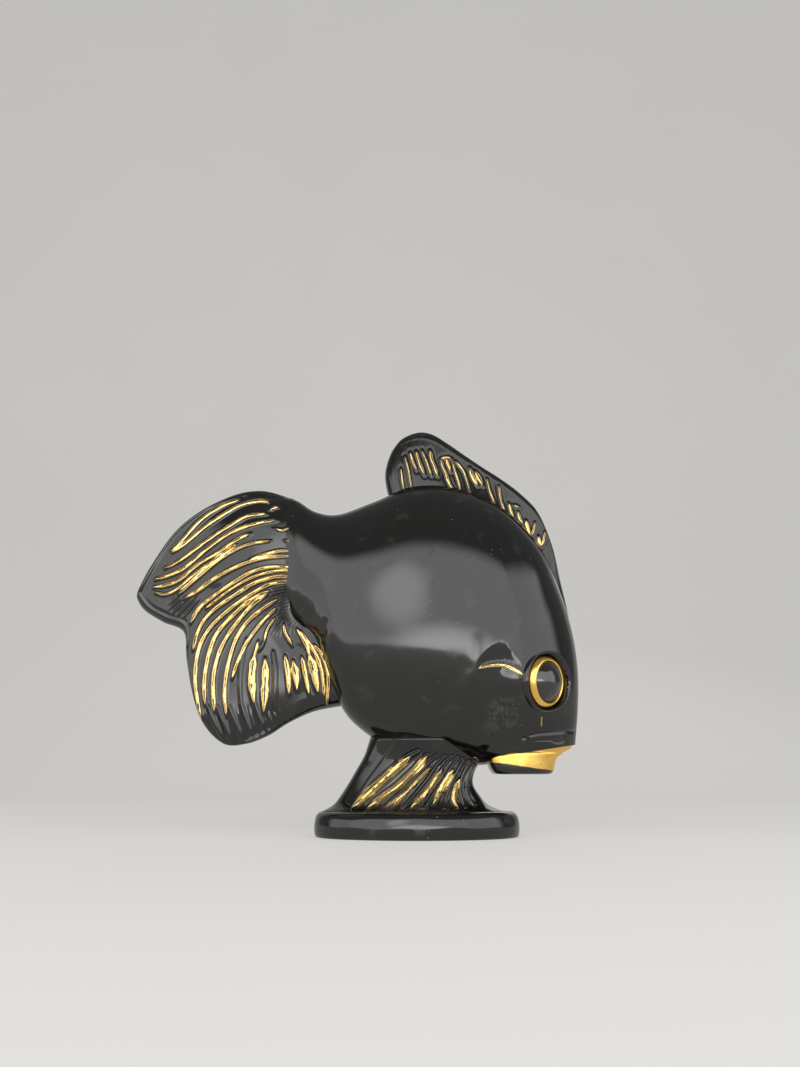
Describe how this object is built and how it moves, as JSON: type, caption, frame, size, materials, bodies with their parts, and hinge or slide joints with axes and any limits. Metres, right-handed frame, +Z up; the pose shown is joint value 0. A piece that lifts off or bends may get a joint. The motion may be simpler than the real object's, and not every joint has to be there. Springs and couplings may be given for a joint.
{
  "type": "fish figurine",
  "caption": "Fantail fish figurine in gloss black with gilded eye rings and jaw, standing on its pelvic fins on an oval base.",
  "frame": {"origin": "centre of the flat underside of the oval base", "axes": "+Z up, +X towards the fish's head, +Y to the fish's left; the middle plane of the fish is y = 0"},
  "size_m": [0.1627, 0.0452, 0.1509],
  "materials": {
    "gloss_black": "moulded, polished gloss",
    "eye_black": "polished gloss",
    "gilding": "gold paint over the moulding",
    "peg_black": "as moulded",
    "pin_steel": "drawn bar"
  },
  "bodies": {
    "root": {"oval_base": "gloss_black", "fin_stand": "gloss_black", "body_shell_right": "gloss_black", "body_shell_left": "gloss_black", "tail_fan": "gloss_black", "dorsal_fin": "gloss_black", "lower_jaw": "gilding", "eye_ring_right": "gilding", "eye_ring_left": "gilding", "eye_right": "eye_black", "eye_left": "eye_black", "shell_pegs": "peg_black", "stand_pin": "pin_steel"}
  },
  "joints": []
}
